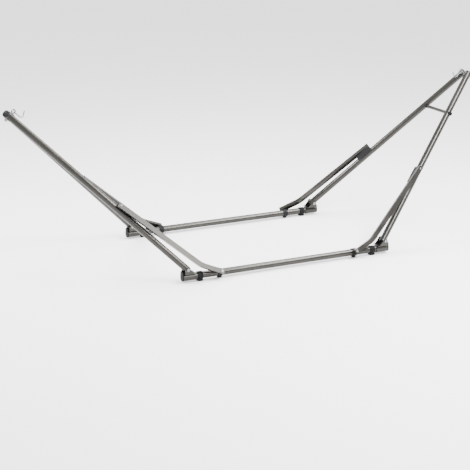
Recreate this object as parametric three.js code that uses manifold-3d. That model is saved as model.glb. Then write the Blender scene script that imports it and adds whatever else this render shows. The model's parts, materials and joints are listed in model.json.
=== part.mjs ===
// Folding steel hammock stand: two base tubes on the ground, an A-frame of two legs at each end,
// and a bent brace from each base tube to each leg. Millimetres, +Z up, X along the base tubes.
// The origin is on the ground under the middle of the stand.
import * as THREE from 'three';
import { mergeVertices } from 'three/addons/utils/BufferGeometryUtils.js';
import Module from 'manifold-3d';

const wasm = await Module();
wasm.setup();

// Overall layout
const BASE_LENGTH = 1260; // from end to end of a base tube
const BASE_SPACING = 892; // between the axes of the two base tubes
const AXIS_HEIGHT = 30; // of the base tubes' axes above the ground
const APEX_OUTREACH = 785; // from a base tube's end outwards to the apex
const APEX_RISE = 871; // from a base tube's axis up to the apex
const GAP = 0.3; // between pieces that touch

// Round tubes of the base and legs
const TUBE_RADIUS = 19;
const TUBE_BORE = 17.5;
const SLEEVE_BORE = TUBE_RADIUS + GAP;

// Leg pivots, in the yoke on each base tube's end
const PIVOT_INSET = 22;
const PIVOT_RISE = 47;
const PIVOT_BOLT_RADIUS = 5;
const LEG_BELOW_PIVOT = 11;
const LEG_ABOVE_APEX = 18;
const APEX_SPACING = 58; // between the axes of the two legs at the apex, where they stand side by side

// Yoke bracket
const SLEEVE_LENGTH = 72;
const SLEEVE_RADIUS = 22.3;
const YOKE_INNER = 27;
const YOKE_PLATE = 3;
const YOKE_FLOOR = 19.8;
const YOKE_EYE = 15;
const END_PLATE_TOP = 31;
const END_PLATE_HALF_WIDTH = 17;

// Feet and brace clamps, by their distance from the base tube's end
const FOOT_INSET = 98;
const FOOT_LENGTH = 28;
const FOOT_RADIUS = 23;
const FOOT_HALF_WIDTH = 16;
const CLAMP_INSET = 214;
const CLAMP_LENGTH = 26;
const CLAMP_RADIUS = 22.6;
const CLAMP_PAD_CLEARANCE = 2; // under the clamp's pad, so that the stand rests on its feet

// Braces: bent rectangular tube, outside the base tube and the leg
const BRACE_DEPTH = 26;
const BRACE_THICKNESS = 22;
const BRACE_WALL = 1.8;
const BRACE_OFFSET_AT_BASE = 38;
const BRACE_OFFSET_AT_LEG = 42;
const BRACE_LEAD = 12; // its centre line runs this far inboard of the leg's
const BRACE_REACH = 490; // from the leg's pivot up the leg to the brace's top pin
const BRACE_FOOT_LENGTH = 121;
const BRACE_FOOT_TURN = THREE.MathUtils.degToRad(15.8);
const BRACE_BEND_RADIUS = 150;
const BRACE_OVERHANG = 15;
const BRACE_BOLT_RADIUS = 4.5;

// Cradle angle under each brace's top, and its lock pin
const CRADLE_LENGTH = 105;
const CRADLE_PLATE = 3;
const CRADLE_ABOVE_PIN = 16;
const PIN_RADIUS = 3.5;

// Spreader bar, by its distance below the apex as a share of the leg
const SPREADER_SHARE = 0.24;
const SPREADER_RADIUS = 10;
const KNOB_SIDE = 1;
const KNOB_RADIUS = 12;
const KNOB_SHANK_RADIUS = 4;

// Eye bolt and hook at the apex
const EYE_BOLT_RADIUS = 5;
const CLAMP_PLATE = 3; // thickness of the plates that hold the two legs between them
const CLAMP_PLATE_WIDTH = 22;
const EYE_RISE = 35;
const EYE_RADIUS = 10;
const EYE_WIRE = 3.5;
const HOOK_LOOP_RADIUS = 9;
const HOOK_LOOP_OFFSET = 12;
const HOOK_WIRE = 3;
const HOOK_SHANK = 44;
const HOOK_BOWL_RADIUS = 12;
const HOOK_BOWL_TURN = THREE.MathUtils.degToRad(118);
const HOOK_TIP = 24;

const X = new THREE.Vector3(1, 0, 0);
const Y = new THREE.Vector3(0, 1, 0);
const Z = new THREE.Vector3(0, 0, 1);

const steel = () => new THREE.MeshStandardMaterial({ color: 0x8c8f92, roughness: 0.42, metalness: 0.75 });
const plastic = () => new THREE.MeshStandardMaterial({ color: 0x161616, roughness: 0.6, metalness: 0 });
const blackSteel = () => new THREE.MeshStandardMaterial({ color: 0x262728, roughness: 0.5, metalness: 0.4 });
const zinc = () => new THREE.MeshStandardMaterial({ color: 0xc9ccce, roughness: 0.28, metalness: 0.95 });

// Vector helpers
const at = (x, y, z) => new THREE.Vector3(x, y, z);
const along = (point, direction, distance) => point.clone().addScaledVector(direction, distance);

// A closed solid from a geometry, whichever way its faces were wound.
function toSolid(geometry) {
  const bare = geometry.index ? geometry.toNonIndexed() : geometry.clone();
  bare.deleteAttribute('normal');
  bare.deleteAttribute('uv');
  const merged = mergeVertices(bare, 1e-4);
  const corners = [];
  for (let i = 0; i < merged.index.count; i += 3) {
    const [a, b, c] = [0, 1, 2].map((k) => merged.index.getX(i + k));
    if (a !== b && b !== c && c !== a) corners.push([a, b, c]);
  }
  const solidFrom = (triangles) => new wasm.Manifold(new wasm.Mesh({
    numProp: 3,
    vertProperties: new Float32Array(merged.attributes.position.array),
    triVerts: new Uint32Array(triangles.flat()),
  }));
  const solid = solidFrom(corners);
  return solid.volume() > 0 ? solid : solidFrom(corners.map(([a, b, c]) => [a, c, b]));
}

function toGeometry(solid) {
  const mesh = solid.getMesh();
  const geometry = new THREE.BufferGeometry();
  geometry.setAttribute('position', new THREE.BufferAttribute(new Float32Array(mesh.vertProperties), 3));
  geometry.setIndex(new THREE.BufferAttribute(new Uint32Array(mesh.triVerts), 1));
  geometry.computeVertexNormals();
  return geometry;
}

function addPiece(group, name, solid, material) {
  const mesh = new THREE.Mesh(toGeometry(solid), material);
  mesh.name = name;
  group.add(mesh);
}

// A solid turned about an axis: the profile is a list of [radius, distance along the axis].
function turned(profile, origin, axis, segments = 20) {
  const points = profile.map(([radius, height]) => new THREE.Vector2(radius, height));
  const geometry = new THREE.LatheGeometry(points, segments);
  geometry.applyQuaternion(new THREE.Quaternion().setFromUnitVectors(Y, axis.clone().normalize()));
  geometry.translate(origin.x, origin.y, origin.z);
  return toSolid(geometry);
}

function rod(start, end, radius, segments = 20) {
  const axis = end.clone().sub(start);
  const length = axis.length();
  return turned([[0, 0], [radius, 0], [radius, length], [0, length]], start, axis, segments);
}

function pipe(start, end, radius, bore, segments = 22) {
  const axis = end.clone().sub(start);
  const length = axis.length();
  const profile = [[bore, 0], [radius, 0], [radius, length], [bore, length], [bore, 0]];
  return turned(profile, start, axis, segments);
}

// An outline in the plane of two axes, extruded by a thickness that the plane cuts in half.
function slab(outline, thickness, origin, xAxis, yAxis, curveSegments = 5) {
  const options = { depth: thickness, bevelEnabled: false, curveSegments };
  const geometry = new THREE.ExtrudeGeometry(outline, options);
  geometry.translate(0, 0, -thickness / 2);
  const frame = new THREE.Matrix4().makeBasis(xAxis, yAxis, xAxis.clone().cross(yAxis));
  geometry.applyMatrix4(frame.setPosition(origin));
  return toSolid(geometry);
}

function block(centre, size) {
  const geometry = new THREE.BoxGeometry(size.x, size.y, size.z);
  geometry.translate(centre.x, centre.y, centre.z);
  return toSolid(geometry);
}

function outlineOf(points) {
  return new THREE.Shape(points.map(([x, y]) => new THREE.Vector2(x, y)));
}

// ---- Layout of one end. x runs inboard from the base tubes' ends, z up from their axes,
// ---- and side is -1 or 1 for the corner at negative or positive y.

const apex = at(-APEX_OUTREACH, 0, APEX_RISE);
const slope = at(-APEX_OUTREACH - PIVOT_INSET, 0, APEX_RISE - PIVOT_RISE).normalize();
const slopeNormal = at(slope.z, 0, -slope.x); // square to the A-frame, pointing inboard and up

// The legs lean in towards each other and stop side by side.
function legLine(side) {
  const foot = at(PIVOT_INSET, side * BASE_SPACING / 2, PIVOT_RISE);
  const top = along(apex, Y, side * APEX_SPACING / 2);
  const direction = top.clone().sub(foot).normalize();
  const outward = direction.clone().cross(X).normalize();
  if (outward.y * side < 0) outward.negate();
  const inboard = outward.clone().cross(direction).normalize();
  if (inboard.x < 0) inboard.negate();
  return { foot, top, direction, outward, inboard };
}

// The brace lies in a plane that holds X, tilted so that it clears the base tube and the leg.
function braceLine(side) {
  const leg = legLine(side);
  const pin = along(leg.foot, leg.direction, BRACE_REACH);
  pin.addScaledVector(leg.outward, BRACE_OFFSET_AT_LEG).addScaledVector(leg.inboard, BRACE_LEAD);
  const inwards = BASE_SPACING / 2 - pin.y * side;
  const tilt = Math.atan2(inwards, pin.z) + Math.asin(BRACE_OFFSET_AT_BASE / Math.hypot(inwards, pin.z));
  const outward = at(0, side * Math.cos(tilt), Math.sin(tilt));
  const up = at(0, -side * Math.sin(tilt), Math.cos(tilt));
  const foot = along(at(CLAMP_INSET, side * BASE_SPACING / 2, 0), outward, BRACE_OFFSET_AT_BASE);
  const reach = pin.clone().sub(foot);
  return { leg, foot, pin, outward, up, reach: new THREE.Vector2(reach.x, reach.dot(up)) };
}

// ---- Pieces of one corner

function baseTube(side) {
  const y = side * BASE_SPACING / 2;
  const half = BASE_LENGTH / 2;
  const inset = YOKE_PLATE + GAP;
  let tube = pipe(at(inset - half, y, AXIS_HEIGHT), at(half - inset, y, AXIS_HEIGHT), TUBE_RADIUS, TUBE_BORE);
  for (const end of [-1, 1]) {
    // At the right end the corner's own side is reversed, because that end is turned half round.
    const local = braceLine(-end * side).outward;
    const outward = at(0, Math.abs(local.y) * side, local.z);
    const centre = at(end * (half - CLAMP_INSET), y, AXIS_HEIGHT);
    tube = tube.subtract(rod(centre, along(centre, outward, TUBE_RADIUS + 5), BRACE_BOLT_RADIUS + GAP, 16));
  }
  return tube;
}

function yokeOutline() {
  const outline = new THREE.Shape();
  outline.moveTo(4, YOKE_FLOOR);
  outline.lineTo(SLEEVE_LENGTH - 4, YOKE_FLOOR);
  outline.lineTo(SLEEVE_LENGTH - 4, YOKE_FLOOR + YOKE_PLATE);
  outline.lineTo(SLEEVE_LENGTH - 14, YOKE_FLOOR + YOKE_PLATE);
  outline.lineTo(PIVOT_INSET + YOKE_EYE, PIVOT_RISE);
  outline.absarc(PIVOT_INSET, PIVOT_RISE, YOKE_EYE, 0, Math.PI, false);
  outline.lineTo(4, 34);
  outline.closePath();
  return outline;
}

function endBracket(side) {
  const y = side * BASE_SPACING / 2;
  const sleeve = rod(at(0, y, 0), at(SLEEVE_LENGTH, y, 0), SLEEVE_RADIUS, 22);
  const width = 2 * (YOKE_INNER + YOKE_PLATE);
  const floor = at(SLEEVE_LENGTH - 8, width, YOKE_PLATE);
  let bracket = sleeve.add(block(at(SLEEVE_LENGTH / 2, y, YOKE_FLOOR + YOKE_PLATE / 2), floor));
  for (const cheek of [-1, 1]) {
    const origin = at(0, y + cheek * (YOKE_INNER + YOKE_PLATE / 2), 0);
    bracket = bracket.add(slab(yokeOutline(), YOKE_PLATE, origin, X, Z));
  }
  const boltStart = at(PIVOT_INSET, y - 40, PIVOT_RISE);
  const boltEnd = at(PIVOT_INSET, y + 40, PIVOT_RISE);
  const bolt = rod(boltStart, boltEnd, PIVOT_BOLT_RADIUS + GAP, 16);
  const bore = rod(at(YOKE_PLATE, y, 0), at(SLEEVE_LENGTH + 5, y, 0), SLEEVE_BORE, 22);
  return bracket.subtract(bolt).subtract(bore);
}

// A plug for the tube's end, carried up as a plate behind the leg's lower end.
function endCap(side) {
  const outline = new THREE.Shape();
  outline.moveTo(SLEEVE_RADIUS, 0);
  outline.lineTo(END_PLATE_HALF_WIDTH, END_PLATE_TOP);
  outline.lineTo(-END_PLATE_HALF_WIDTH, END_PLATE_TOP);
  outline.lineTo(-SLEEVE_RADIUS, 0);
  outline.absarc(0, 0, SLEEVE_RADIUS, Math.PI, 2 * Math.PI, false);
  return slab(outline, 6, at(-GAP - 3, side * BASE_SPACING / 2, 0), Y, Z);
}

function foot(side) {
  const y = side * BASE_SPACING / 2;
  const spread = Math.asin(FOOT_HALF_WIDTH / FOOT_RADIUS);
  const outline = new THREE.Shape();
  outline.moveTo(-FOOT_HALF_WIDTH, -AXIS_HEIGHT);
  outline.lineTo(FOOT_HALF_WIDTH, -AXIS_HEIGHT);
  outline.absarc(0, 0, FOOT_RADIUS, spread - Math.PI / 2, 1.5 * Math.PI - spread, false);
  outline.closePath();
  const pad = slab(outline, FOOT_LENGTH, at(FOOT_INSET, y, 0), Y, Z, 12);
  return pad.subtract(rod(at(FOOT_INSET - 30, y, 0), at(FOOT_INSET + 30, y, 0), SLEEVE_BORE, 22));
}

function braceClamp(side) {
  const { outward } = braceLine(side);
  const centre = at(CLAMP_INSET, side * BASE_SPACING / 2, 0);
  const start = along(centre, X, -CLAMP_LENGTH / 2);
  const end = along(centre, X, CLAMP_LENGTH / 2);
  const lugTop = BRACE_OFFSET_AT_BASE - BRACE_THICKNESS / 2 - GAP;
  const lug = rod(centre, along(centre, outward, lugTop), 12, 14);
  const pad = rod(centre, along(centre, Z, CLAMP_PAD_CLEARANCE - AXIS_HEIGHT), CLAMP_LENGTH / 2, 20);
  const hole = rod(centre, along(centre, outward, 60), BRACE_BOLT_RADIUS + GAP, 16);
  const tubeBore = rod(along(start, X, -5), along(end, X, 5), SLEEVE_BORE, 22);
  return rod(start, end, CLAMP_RADIUS, 22).add(lug).add(pad).subtract(tubeBore)
    .subtract(hole);
}

// Domed head on a plain shank; heights are measured along the axis from the origin.
function boltProfile(shankStart, headStart, headHeight, shankRadius, headRadius) {
  return [
    [0, shankStart],
    [shankRadius, shankStart],
    [shankRadius, headStart],
    [headRadius, headStart],
    [headRadius, headStart + headHeight * 0.5],
    [headRadius * 0.75, headStart + headHeight * 0.85],
    [0, headStart + headHeight],
  ];
}

function braceBolt(side) {
  const { outward } = braceLine(side);
  const centre = at(CLAMP_INSET, side * BASE_SPACING / 2, 0);
  const headStart = BRACE_OFFSET_AT_BASE + BRACE_THICKNESS / 2 + GAP;
  return turned(boltProfile(8, headStart, 6, BRACE_BOLT_RADIUS, 8.5), centre, outward, 16);
}

function pivotBolt(side) {
  const centre = at(PIVOT_INSET, side * BASE_SPACING / 2, PIVOT_RISE);
  const headStart = YOKE_INNER + YOKE_PLATE + GAP;
  const profile = boltProfile(-headStart - 3, headStart, 6, PIVOT_BOLT_RADIUS, 9);
  const bolt = turned(profile, centre, at(0, side, 0), 16);
  const nutStart = along(centre, Y, -side * headStart);
  return bolt.add(rod(nutStart, along(nutStart, Y, -side * 7), 9, 6));
}

function leg(side, hasKnob) {
  const line = legLine(side);
  const start = along(line.foot, line.direction, -LEG_BELOW_PIVOT);
  const end = along(line.top, line.direction, LEG_ABOVE_APEX);
  const pivot = rod(along(line.foot, Y, -40), along(line.foot, Y, 40), PIVOT_BOLT_RADIUS + GAP, 16);
  let tube = pipe(start, end, TUBE_RADIUS, TUBE_BORE).subtract(pivot);
  if (hasKnob) {
    const { near, direction } = spreaderLine();
    const hole = rod(along(near, direction, -40), along(near, direction, 40), KNOB_SHANK_RADIUS + GAP, 16);
    tube = tube.subtract(hole);
  }
  return tube;
}

function legPlug(side) {
  const line = legLine(side);
  const profile = [
    [0, -5.8], [TUBE_BORE - GAP, -5.8], [TUBE_BORE - GAP, -LEG_BELOW_PIVOT - GAP],
    [TUBE_RADIUS, -LEG_BELOW_PIVOT - GAP], [TUBE_RADIUS - 2, -LEG_BELOW_PIVOT - 3], [0, -LEG_BELOW_PIVOT - 3],
  ];
  const bolt = rod(along(line.foot, Y, -40), along(line.foot, Y, 40), PIVOT_BOLT_RADIUS + GAP, 16);
  return turned(profile, line.foot, line.direction, 22).subtract(bolt);
}

function legCap(side) {
  const line = legLine(side);
  const end = along(line.top, line.direction, LEG_ABOVE_APEX);
  const bore = TUBE_BORE - GAP;
  const rim = TUBE_RADIUS + 0.6;
  const profile = [[0, -12], [bore, -12], [bore, GAP], [rim, GAP], [rim, 3], [rim - 5, 6], [0, 7]];
  return turned(profile, end, line.direction, 22);
}

// The bent centre line of a brace, in its own plane from its foot bolt, widened to a closed outline.
function braceOutline(reach, halfWidth, overhang) {
  const chord = Math.atan2(reach.y, reach.x);
  const footAngle = chord + BRACE_FOOT_TURN;
  const footDirection = new THREE.Vector2(Math.cos(footAngle), Math.sin(footAngle));
  const bend = footDirection.clone().multiplyScalar(BRACE_FOOT_LENGTH);
  const topDirection = reach.clone().sub(bend).normalize();
  const topAngle = Math.atan2(topDirection.y, topDirection.x);
  const turn = footAngle - topAngle;
  const tangent = BRACE_BEND_RADIUS * Math.tan(turn / 2);
  const centre = bend.clone().addScaledVector(footDirection, -tangent);
  centre.add(new THREE.Vector2(footDirection.y, -footDirection.x).multiplyScalar(BRACE_BEND_RADIUS));
  const stations = [{ point: footDirection.clone().multiplyScalar(-overhang), angle: footAngle }];
  const steps = 8;
  for (let i = 0; i <= steps; i += 1) {
    const angle = footAngle - turn * i / steps;
    const radial = new THREE.Vector2(-Math.sin(angle), Math.cos(angle));
    stations.push({ point: centre.clone().addScaledVector(radial, BRACE_BEND_RADIUS), angle });
  }
  stations.push({ point: reach.clone().addScaledVector(topDirection, overhang), angle: topAngle });
  const offset = ({ point, angle }, distance) => [
    point.x - Math.sin(angle) * distance,
    point.y + Math.cos(angle) * distance,
  ];
  const upper = stations.map((station) => offset(station, halfWidth));
  const lower = stations.map((station) => offset(station, -halfWidth)).reverse();
  return outlineOf([...upper, ...lower]);
}

function brace(side) {
  const { foot: base, pin, up, outward, reach } = braceLine(side);
  const outer = slab(braceOutline(reach, BRACE_DEPTH / 2, BRACE_OVERHANG), BRACE_THICKNESS, base, X, up);
  const hollow = braceOutline(reach, BRACE_DEPTH / 2 - BRACE_WALL, BRACE_OVERHANG + 2);
  const inner = slab(hollow, BRACE_THICKNESS - 2 * BRACE_WALL, base, X, up);
  const footHole = rod(along(base, outward, -20), along(base, outward, 20), BRACE_BOLT_RADIUS + GAP, 16);
  const pinHole = rod(along(pin, outward, -20), along(pin, outward, 20), PIN_RADIUS + GAP, 16);
  return outer.subtract(inner).subtract(footHole).subtract(pinHole);
}

// An angle under the brace's top whose inboard plate is hollowed to sit against the leg.
function cradle(side) {
  const { leg: line, pin, up, outward } = braceLine(side);
  const flat = line.direction.clone().addScaledVector(outward, -line.direction.dot(outward)).normalize();
  const inboard = outward.clone().cross(flat).normalize();
  if (inboard.x < 0) inboard.negate();
  const face = -BRACE_THICKNESS / 2 - GAP;
  const back = face - CRADLE_PLATE;
  const edge = TUBE_RADIUS - BRACE_LEAD;
  const reachInwards = -BRACE_OFFSET_AT_LEG - 12;
  const outline = outlineOf([
    [edge - 8, face], [edge + 6, face], [edge + 6, reachInwards],
    [edge - 1, reachInwards], [edge - 1, back], [edge - 8, back],
  ]);
  const middle = along(pin, flat, CRADLE_ABOVE_PIN - CRADLE_LENGTH / 2);
  const angle = slab(outline, CRADLE_LENGTH, middle, inboard, outward);
  const start = along(line.foot, line.direction, BRACE_REACH - 200);
  const clearance = rod(start, along(start, line.direction, 400), TUBE_RADIUS + 2 * GAP, 22);
  const pinHole = rod(along(pin, outward, -30), along(pin, outward, 20), PIN_RADIUS + GAP, 16);
  return angle.subtract(clearance).subtract(pinHole);
}

function lockPin(side) {
  const { pin, outward } = braceLine(side);
  const headStart = BRACE_THICKNESS / 2 + GAP;
  return turned(boltProfile(-17, headStart, 5, PIN_RADIUS, 6), pin, outward, 16);
}

// ---- Pieces of one end

// The spreader runs from the knob's side to the other.
function spreaderLine() {
  const pointOn = (side) => {
    const line = legLine(side);
    return line.top.clone().lerp(line.foot, SPREADER_SHARE);
  };
  const near = pointOn(KNOB_SIDE);
  const far = pointOn(-KNOB_SIDE);
  return { near, far, direction: far.clone().sub(near).normalize() };
}

function legClearance(side) {
  const line = legLine(side);
  return rod(line.foot, line.top, SLEEVE_BORE, 22);
}

function spreader() {
  const { near, far, direction } = spreaderLine();
  const socket = rod(near, along(near, direction, 40), KNOB_SHANK_RADIUS + GAP, 16);
  const bar = rod(near, far, SPREADER_RADIUS, 16);
  return bar.subtract(legClearance(-1)).subtract(legClearance(1)).subtract(socket);
}

function spreaderKnob() {
  const { near, direction } = spreaderLine();
  const profile = [[0, -33], [KNOB_RADIUS - 3, -33], [KNOB_RADIUS, -30], [KNOB_RADIUS, 0], [0, 0]];
  const head = turned(profile, near, direction, 20).subtract(legClearance(KNOB_SIDE));
  return head.add(rod(along(near, direction, -30), along(near, direction, 36), KNOB_SHANK_RADIUS, 16));
}

function clampPlate(rise) {
  const outline = outlineOf([
    [-APEX_SPACING / 2 - 6, -CLAMP_PLATE_WIDTH / 2], [APEX_SPACING / 2 + 6, -CLAMP_PLATE_WIDTH / 2],
    [APEX_SPACING / 2 + 6, CLAMP_PLATE_WIDTH / 2], [-APEX_SPACING / 2 - 6, CLAMP_PLATE_WIDTH / 2],
  ]);
  return slab(outline, CLAMP_PLATE, along(apex, slopeNormal, rise), Y, slope);
}

// The eye bolt passes between the legs and is one piece with the upper clamp plate.
function eyeBolt() {
  const plateRise = TUBE_RADIUS + GAP + CLAMP_PLATE / 2;
  const eyeCentre = along(apex, slopeNormal, EYE_RISE);
  const ring = new THREE.TorusGeometry(EYE_RADIUS, EYE_WIRE, 8, 20);
  ring.rotateX(Math.PI / 2);
  ring.translate(eyeCentre.x, eyeCentre.y, eyeCentre.z);
  const start = along(apex, slopeNormal, -TUBE_RADIUS - CLAMP_PLATE - 12);
  const shank = rod(start, along(apex, slopeNormal, EYE_RISE - EYE_RADIUS), EYE_BOLT_RADIUS, 16);
  return shank.add(clampPlate(plateRise)).add(toSolid(ring));
}

// The nut with the lower clamp plate.
function eyeNut() {
  const plateRise = -TUBE_RADIUS - GAP - CLAMP_PLATE / 2;
  const start = along(apex, slopeNormal, plateRise);
  const end = along(apex, slopeNormal, plateRise - CLAMP_PLATE / 2 - 8);
  const bore = rod(along(start, slopeNormal, 5), along(end, slopeNormal, -5), EYE_BOLT_RADIUS + GAP, 16);
  return rod(start, end, 9, 6).add(clampPlate(plateRise)).subtract(bore);
}

// A closed loop through the eye, a straight shank down the slope and an open bowl that turns up.
function hook() {
  const down = slope.clone().negate();
  const eyeCentre = along(apex, slopeNormal, EYE_RISE);
  const loop = new THREE.TorusGeometry(HOOK_LOOP_RADIUS, HOOK_WIRE, 8, 16);
  loop.applyMatrix4(new THREE.Matrix4().makeBasis(Y, down, Y.clone().cross(down))
    .setPosition(along(eyeCentre, down, HOOK_LOOP_OFFSET)));
  const bowl = along(eyeCentre, down, HOOK_SHANK).addScaledVector(slopeNormal, HOOK_BOWL_RADIUS);
  const points = [];
  const loopEnd = HOOK_LOOP_OFFSET + HOOK_LOOP_RADIUS;
  for (let distance = loopEnd; distance < HOOK_SHANK - 4; distance += 6) {
    points.push(along(eyeCentre, down, distance));
  }
  const steps = 8;
  for (let i = 0; i <= steps; i += 1) {
    const angle = HOOK_BOWL_TURN * i / steps;
    const radial = down.clone().multiplyScalar(Math.sin(angle));
    radial.addScaledVector(slopeNormal, -Math.cos(angle));
    points.push(along(bowl, radial, HOOK_BOWL_RADIUS));
  }
  const tipDirection = down.clone().multiplyScalar(Math.cos(HOOK_BOWL_TURN))
    .addScaledVector(slopeNormal, Math.sin(HOOK_BOWL_TURN));
  const last = points[points.length - 1];
  points.push(along(last, tipDirection, HOOK_TIP / 2), along(last, tipDirection, HOOK_TIP));
  const section = new THREE.Shape().absarc(0, 0, HOOK_WIRE, 0, 2 * Math.PI, false);
  const wire = new THREE.ExtrudeGeometry(section, {
    extrudePath: new THREE.CatmullRomCurve3(points),
    steps: 22,
    bevelEnabled: false,
    curveSegments: 4,
  });
  const tip = new THREE.SphereGeometry(HOOK_WIRE * 1.2, 10, 6);
  tip.translate(...points[points.length - 1].toArray());
  return toSolid(wire).add(toSolid(loop)).add(toSolid(tip));
}

// ---- Assembly

const group = new THREE.Group();
addPiece(group, 'front_base_tube', baseTube(-1), steel());
addPiece(group, 'rear_base_tube', baseTube(1), steel());

for (const endName of ['left', 'right']) {
  const isLeft = endName === 'left';
  const end = new THREE.Group();
  end.position.set((isLeft ? -1 : 1) * BASE_LENGTH / 2, 0, AXIS_HEIGHT);
  end.rotation.z = isLeft ? 0 : Math.PI;
  group.add(end);
  const frontSide = isLeft ? -1 : 1;
  for (const side of [-1, 1]) {
    const corner = `${side === frontSide ? 'front' : 'rear'}_${endName}`;
    addPiece(end, `${corner}_end_bracket`, endBracket(side), steel());
    addPiece(end, `${corner}_end_cap`, endCap(side), plastic());
    addPiece(end, `${corner}_foot`, foot(side), plastic());
    addPiece(end, `${corner}_brace_clamp`, braceClamp(side), blackSteel());
    addPiece(end, `${corner}_brace_bolt`, braceBolt(side), zinc());
    addPiece(end, `${corner}_leg_pivot_bolt`, pivotBolt(side), zinc());
    addPiece(end, `${corner}_leg`, leg(side, side === KNOB_SIDE), steel());
    addPiece(end, `${corner}_leg_plug`, legPlug(side), plastic());
    addPiece(end, `${corner}_leg_cap`, legCap(side), plastic());
    addPiece(end, `${corner}_brace`, brace(side), steel());
    addPiece(end, `${corner}_brace_cradle`, cradle(side), blackSteel());
    addPiece(end, `${corner}_lock_pin`, lockPin(side), zinc());
  }
  addPiece(end, `${endName}_spreader_bar`, spreader(), steel());
  addPiece(end, `${endName}_spreader_knob`, spreaderKnob(), plastic());
  addPiece(end, `${endName}_eye_bolt`, eyeBolt(), zinc());
  addPiece(end, `${endName}_eye_nut`, eyeNut(), zinc());
  addPiece(end, `${endName}_hook`, hook(), zinc());
}

export default group;
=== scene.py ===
"""Looks of the folding hammock stand: materials on the CAD frame, a pale studio, the photograph's camera.

Metres, in the CAD model's frame: +X along the base tubes, +Y to the rear, +Z up, the floor at zero.
"""

import json
import math

import bpy
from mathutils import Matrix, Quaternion, Vector


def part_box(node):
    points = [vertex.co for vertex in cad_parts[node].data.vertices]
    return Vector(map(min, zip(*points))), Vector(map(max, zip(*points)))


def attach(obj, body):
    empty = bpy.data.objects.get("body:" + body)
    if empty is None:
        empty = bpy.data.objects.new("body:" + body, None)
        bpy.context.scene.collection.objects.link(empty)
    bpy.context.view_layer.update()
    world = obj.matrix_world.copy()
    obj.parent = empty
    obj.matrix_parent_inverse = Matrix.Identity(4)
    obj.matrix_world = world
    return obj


# Camera, as a view from in front, to the left and above
CAMERA_AZIMUTH = math.radians(-23.84)
CAMERA_ELEVATION = math.radians(17.07)
CAMERA_ROLL = math.radians(-0.465)
CAMERA_DISTANCE = 7.537
CAMERA_TARGET = Vector((-0.123, 0.0, 0.079))
LENS_MM = 99.1
SENSOR_MM = 36.0

# Shading of edges and welded seams
EDGE_SAMPLES = 4
SMOOTH_BELOW = math.radians(32)
WELD_DISTANCE = 2e-5

# The socket of each spreader bar, and the direction of the leg that it is on
SOCKET_LENGTH = 0.016
SOCKET_RADIUS = 0.0115
SOCKET_INSET = 0.016
SOCKET_ROUNDING = 0.0015
SOCKET_SIDES = 40
FRONT = -1
REAR = 1

# Studio
FLOOR_SIZE = 60
WORLD_STRENGTH = 2.3
LEFT_FRAME = (-1.0, -0.25, 0.5)
RIGHT_FRAME = (1.0, 0.25, 0.5)

# Linear base colours
ENAMEL_DARK = (0.020, 0.0182, 0.0155)
ENAMEL_LIGHT = (0.029, 0.0268, 0.0235)
ENAMEL_FLAKE = (0.07, 0.07, 0.068)
ENAMEL_SCUFF = (0.085, 0.082, 0.077)
PAINT_BLACK = (0.006, 0.006, 0.0065)
PAINT_RUBBED = (0.022, 0.021, 0.020)
PLASTIC_BLACK = (0.004, 0.004, 0.0045)
PLASTIC_DUST = (0.016, 0.015, 0.014)
ZINC_BRIGHT = (0.20, 0.205, 0.21)
ZINC_DULL = (0.10, 0.10, 0.098)
FLOOR_DARK = (0.92, 0.92, 0.92)
FLOOR_LIGHT = (0.95, 0.95, 0.95)

# Places of the colour sockets on a Mix node, where sockets of other types have the same names
MIX_FIRST = 6
MIX_SECOND = 7
MIX_RESULT = 2


# ---- Shader building blocks


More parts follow.
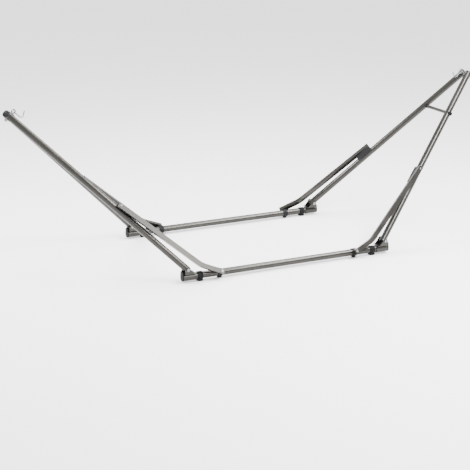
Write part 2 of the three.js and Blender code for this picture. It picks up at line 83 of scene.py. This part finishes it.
class Shader:
    """A material's node tree, with short calls for the nodes that the finishes share."""

    def __init__(self, name):
        self.material = bpy.data.materials.new(name)
        self.material.use_nodes = True
        self.nodes = self.material.node_tree.nodes
        self.links = self.material.node_tree.links
        self.surface = self.nodes["Principled BSDF"]
        self.place = self.nodes.new("ShaderNodeTexCoord").outputs["Object"]

    def link(self, source, target):
        self.links.new(source, target)

    def set(self, name, value):
        """Sets an input of the surface that is the same all over."""
        self.surface.inputs[name].default_value = value

    def drive(self, name, source):
        """Drives an input of the surface from another node's output."""
        self.link(source, self.surface.inputs[name])

    def noise(self, scale, detail=3.0, roughness=0.5, stretch=None):
        """Noise from 0 to 1; scale is in features per metre, stretch is a factor on each axis."""
        node = self.nodes.new("ShaderNodeTexNoise")
        node.inputs["Scale"].default_value = scale
        node.inputs["Detail"].default_value = detail
        node.inputs["Roughness"].default_value = roughness
        place = self.place
        if stretch:
            mapping = self.nodes.new("ShaderNodeMapping")
            mapping.inputs["Scale"].default_value = stretch
            self.link(place, mapping.inputs["Vector"])
            place = mapping.outputs["Vector"]
        self.link(place, node.inputs["Vector"])
        return node.outputs["Fac"]

    def cells(self, scale):
        """Soft rounded cells, as in thick powder coat."""
        node = self.nodes.new("ShaderNodeTexVoronoi")
        node.feature = "SMOOTH_F1"
        node.inputs["Scale"].default_value = scale
        self.link(self.place, node.inputs["Vector"])
        return node.outputs["Distance"]

    def spread(self, value, low, high, start, end):
        """Maps value from the range start..end to low..high, and clamps it."""
        node = self.nodes.new("ShaderNodeMapRange")
        node.inputs["From Min"].default_value = start
        node.inputs["From Max"].default_value = end
        node.inputs["To Min"].default_value = low
        node.inputs["To Max"].default_value = high
        self.link(value, node.inputs["Value"])
        return node.outputs["Result"]

    def mix(self, factor, first, second):
        """A colour between first and second, each a colour or another node's output."""
        node = self.nodes.new("ShaderNodeMix")
        node.data_type = "RGBA"
        self.link(factor, node.inputs["Factor"])
        for place, value in ((MIX_FIRST, first), (MIX_SECOND, second)):
            socket = node.inputs[place]
            if isinstance(value, tuple):
                socket.default_value = (*value, 1.0)
            else:
                self.link(value, socket)
        return node.outputs[MIX_RESULT]

    def bump(self, height, strength, distance, normal):
        """A normal tilted by height, on top of another node's normal."""
        node = self.nodes.new("ShaderNodeBump")
        node.inputs["Strength"].default_value = strength
        node.inputs["Distance"].default_value = distance
        self.link(height, node.inputs["Height"])
        self.link(normal, node.inputs["Normal"])
        return node.outputs["Normal"]

    def softened_edges(self, radius):
        """A normal that rounds sharp edges to radius, in metres."""
        node = self.nodes.new("ShaderNodeBevel")
        node.samples = EDGE_SAMPLES
        node.inputs["Radius"].default_value = radius
        return node.outputs["Normal"]


def grey_enamel():
    """Glossy dark metallic grey enamel: fine flake and orange peel, with small scuffs."""
    shader = Shader("grey_enamel")
    peel = shader.cells(260)
    drift = shader.noise(9, detail=4)
    flake = shader.noise(1400, detail=2)
    worn = shader.noise(60, detail=6, roughness=0.7, stretch=(1, 3, 3))
    grey = shader.mix(shader.spread(drift, 0, 1, start=0.35, end=0.65), ENAMEL_DARK, ENAMEL_LIGHT)
    flecked = shader.mix(shader.spread(flake, 0, 0.5, start=0.5, end=0.75), grey, ENAMEL_FLAKE)
    scuffs = shader.spread(worn, 0, 0.45, start=0.68, end=0.76)
    shader.drive("Base Color", shader.mix(scuffs, flecked, ENAMEL_SCUFF))
    shader.drive("Roughness", shader.spread(drift, 0.20, 0.30, start=0.3, end=0.7))
    shader.set("Metallic", 0.8)
    shader.set("Coat Weight", 0.15)
    shader.set("Coat Roughness", 0.1)
    edges = shader.softened_edges(0.0025)
    peeled = shader.bump(peel, 0.10, 0.0008, edges)
    shader.drive("Normal", shader.bump(flake, 0.08, 0.0001, peeled))
    return shader.material


def satin_black_paint():
    """Satin black paint, with orange peel and greyer rubbed patches."""
    shader = Shader("satin_black_paint")
    peel = shader.noise(700, detail=2)
    rubbed = shader.spread(shader.noise(45, detail=6, roughness=0.65), 0, 0.6, start=0.56, end=0.72)
    shader.drive("Base Color", shader.mix(rubbed, PAINT_BLACK, PAINT_RUBBED))
    shader.drive("Roughness", shader.spread(peel, 0.34, 0.5, start=0.3, end=0.7))
    shader.set("Specular IOR Level", 0.08)
    edges = shader.softened_edges(0.0008)
    shader.drive("Normal", shader.bump(peel, 0.2, 0.0003, edges))
    return shader.material


def moulded_plastic():
    """Matt black moulded plastic, with a fine spark-eroded grain and pale dust."""
    shader = Shader("moulded_black_plastic")
    grain = shader.noise(1500, detail=2)
    dust = shader.spread(shader.noise(30, detail=5), 0, 0.45, start=0.52, end=0.75)
    shader.drive("Base Color", shader.mix(dust, PLASTIC_BLACK, PLASTIC_DUST))
    shader.drive("Roughness", shader.spread(grain, 0.48, 0.68, start=0.3, end=0.7))
    shader.set("Specular IOR Level", 0.08)
    edges = shader.softened_edges(0.001)
    shader.drive("Normal", shader.bump(grain, 0.25, 0.0003, edges))
    return shader.material


def bright_zinc():
    """Bright zinc plate, with crystalline mottling and duller patches."""
    shader = Shader("bright_zinc")
    mottle = shader.noise(260, detail=4)
    dull = shader.spread(shader.noise(80, detail=5), 0, 1, start=0.45, end=0.7)
    shader.drive("Base Color", shader.mix(dull, ZINC_BRIGHT, ZINC_DULL))
    shader.drive("Roughness", shader.spread(mottle, 0.16, 0.34, start=0.3, end=0.7))
    shader.set("Metallic", 1.0)
    edges = shader.softened_edges(0.0006)
    shader.drive("Normal", shader.bump(mottle, 0.12, 0.0002, edges))
    return shader.material


def floor_finish():
    """Pale matt floor, with hardly any tone of its own."""
    shader = Shader("pale_floor")
    tone = shader.noise(3, detail=3)
    shader.drive("Base Color", shader.mix(tone, FLOOR_DARK, FLOOR_LIGHT))
    shader.set("Roughness", 0.85)
    shader.set("Specular IOR Level", 0.1)
    return shader.material


# ---- Shading of the CAD nodes


def round_shading():
    """A modifier tree that welds the imported seams and smooths all edges flatter than SMOOTH_BELOW."""
    tree = bpy.data.node_groups.new("round_shading", "GeometryNodeTree")
    tree.interface.new_socket("Geometry", in_out="INPUT", socket_type="NodeSocketGeometry")
    tree.interface.new_socket("Geometry", in_out="OUTPUT", socket_type="NodeSocketGeometry")
    nodes, links = tree.nodes, tree.links
    start = nodes.new("NodeGroupInput")
    end = nodes.new("NodeGroupOutput")
    plain = nodes.new("GeometryNodeRemoveAttribute")
    plain.inputs["Name"].default_value = "custom_normal"
    weld = nodes.new("GeometryNodeMergeByDistance")
    weld.inputs["Distance"].default_value = WELD_DISTANCE
    faces = nodes.new("GeometryNodeSetShadeSmooth")
    faces.inputs["Shade Smooth"].default_value = True
    edges = nodes.new("GeometryNodeSetShadeSmooth")
    edges.domain = "EDGE"
    edges.inputs["Shade Smooth"].default_value = False
    angle = nodes.new("GeometryNodeInputMeshEdgeAngle")
    sharp = nodes.new("FunctionNodeCompare")
    sharp.operation = "GREATER_THAN"
    sharp.inputs["B"].default_value = SMOOTH_BELOW
    links.new(start.outputs["Geometry"], plain.inputs["Geometry"])
    links.new(plain.outputs["Geometry"], weld.inputs["Geometry"])
    links.new(weld.outputs["Geometry"], faces.inputs["Geometry"])
    links.new(faces.outputs["Geometry"], edges.inputs["Geometry"])
    links.new(angle.outputs["Unsigned Angle"], sharp.inputs["A"])
    links.new(sharp.outputs["Result"], edges.inputs["Selection"])
    links.new(edges.outputs["Geometry"], end.inputs["Geometry"])
    return tree


def paint(frame):
    """Gives each CAD node the finish of its material slot in the record."""
    finishes = {
        "tube_steel": grey_enamel(),
        "black_steel": satin_black_paint(),
        "black_plastic": moulded_plastic(),
        "zinc": bright_zinc(),
    }
    slots = {entry["node"]: entry["material_slot"] for entry in frame["record"]["subparts"]}
    shading = round_shading()
    for name, node in frame["nodes"].items():
        finish = finishes[slots[name]]
        if not node.material_slots:
            node.data.materials.append(finish)
        for slot in node.material_slots:
            slot.material = finish
        node.modifiers.new("round_shading", "NODES").node_group = shading
    return finishes


# ---- Small pieces that the CAD model leaves out


def add_spreader_socket(end, far_side, finish):
    """A black socket that holds the spreader bar on the leg that has no knob, FRONT or REAR."""
    low, high = (Vector(corner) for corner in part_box(f"{end}_spreader_bar"))
    middle = (low + high) / 2
    reach = (high.y - low.y) / 2 - SOCKET_INSET
    bpy.ops.mesh.primitive_cylinder_add(
        vertices=SOCKET_SIDES,
        radius=SOCKET_RADIUS,
        depth=SOCKET_LENGTH,
        location=(middle.x, middle.y + far_side * reach, middle.z),
        rotation=(math.pi / 2, 0, 0),
    )
    socket = bpy.context.object
    socket.name = f"{end}_spreader_socket"
    rounding = socket.modifiers.new("rounding", "BEVEL")
    rounding.width = SOCKET_ROUNDING
    rounding.segments = 3
    socket.data.materials.append(finish)
    faces = socket.data.polygons
    faces.foreach_set("use_smooth", [len(face.vertices) == 4 for face in faces])
    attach(socket, f"{end}_a_frame")


# ---- Studio


def add_floor():
    bpy.ops.mesh.primitive_plane_add(size=FLOOR_SIZE, location=(0, 0, 0))
    floor = bpy.context.object
    floor.name = "floor"
    floor.data.materials.append(floor_finish())


def add_softbox(name, location, aim, size, power):
    """A rectangular light facing aim, with its size in metres and its power in watts."""
    light = bpy.data.lights.new(name, "AREA")
    light.shape = "RECTANGLE"
    light.size, light.size_y = size
    light.energy = power
    lamp = bpy.data.objects.new(name, light)
    lamp.location = location
    lamp.rotation_euler = (Vector(aim) - Vector(location)).to_track_quat("-Z", "Y").to_euler()
    bpy.context.scene.collection.objects.link(lamp)


def add_lights():
    """An even white surround, and softboxes that put highlights along the tubes."""
    world = bpy.data.worlds.new("studio")
    world.use_nodes = True
    background = world.node_tree.nodes["Background"]
    background.inputs["Color"].default_value = (1.0, 1.0, 1.0, 1.0)
    background.inputs["Strength"].default_value = WORLD_STRENGTH
    bpy.context.scene.world = world
    add_softbox("overhead", (2.0, 0.2, 4.2), (0, -0.3, 0), (3.0, 1.2), 240)
    add_softbox("front_right", (1.1, -4.7, 2.4), (-0.6, -0.4, 0.25), (1.5, 1.5), 130)
    add_softbox("left_frame_edge", (1.7, -2.1, 3.1), LEFT_FRAME, (2.0, 0.8), 330)
    add_softbox("right_frame_edge", (-2.4, 1.0, 2.8), RIGHT_FRAME, (2.0, 0.8), 200)


def add_camera():
    """The photograph's camera."""
    data = bpy.data.cameras.new("camera")
    data.sensor_width = SENSOR_MM
    data.lens = LENS_MM
    camera = bpy.data.objects.new("camera", data)
    back = Vector((
        math.sin(CAMERA_AZIMUTH) * math.cos(CAMERA_ELEVATION),
        -math.cos(CAMERA_AZIMUTH) * math.cos(CAMERA_ELEVATION),
        math.sin(CAMERA_ELEVATION),
    ))
    camera.location = CAMERA_TARGET + CAMERA_DISTANCE * back
    turn = (-back).to_track_quat("-Z", "Y") @ Quaternion((0, 0, 1), CAMERA_ROLL)
    camera.rotation_euler = turn.to_euler()
    bpy.context.scene.collection.objects.link(camera)
    bpy.context.scene.camera = camera


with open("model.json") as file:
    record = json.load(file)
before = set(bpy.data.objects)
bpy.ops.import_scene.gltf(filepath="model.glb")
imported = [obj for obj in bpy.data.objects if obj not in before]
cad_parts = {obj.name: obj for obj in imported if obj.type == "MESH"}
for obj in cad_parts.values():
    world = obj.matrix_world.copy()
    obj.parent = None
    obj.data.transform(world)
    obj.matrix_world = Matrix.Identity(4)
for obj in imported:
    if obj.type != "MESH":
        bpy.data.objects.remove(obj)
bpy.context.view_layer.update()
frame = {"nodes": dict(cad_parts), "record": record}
finishes = paint(frame)
add_spreader_socket("left", FRONT, finishes["black_plastic"])
add_spreader_socket("right", REAR, finishes["black_plastic"])
add_floor()
add_lights()
add_camera()
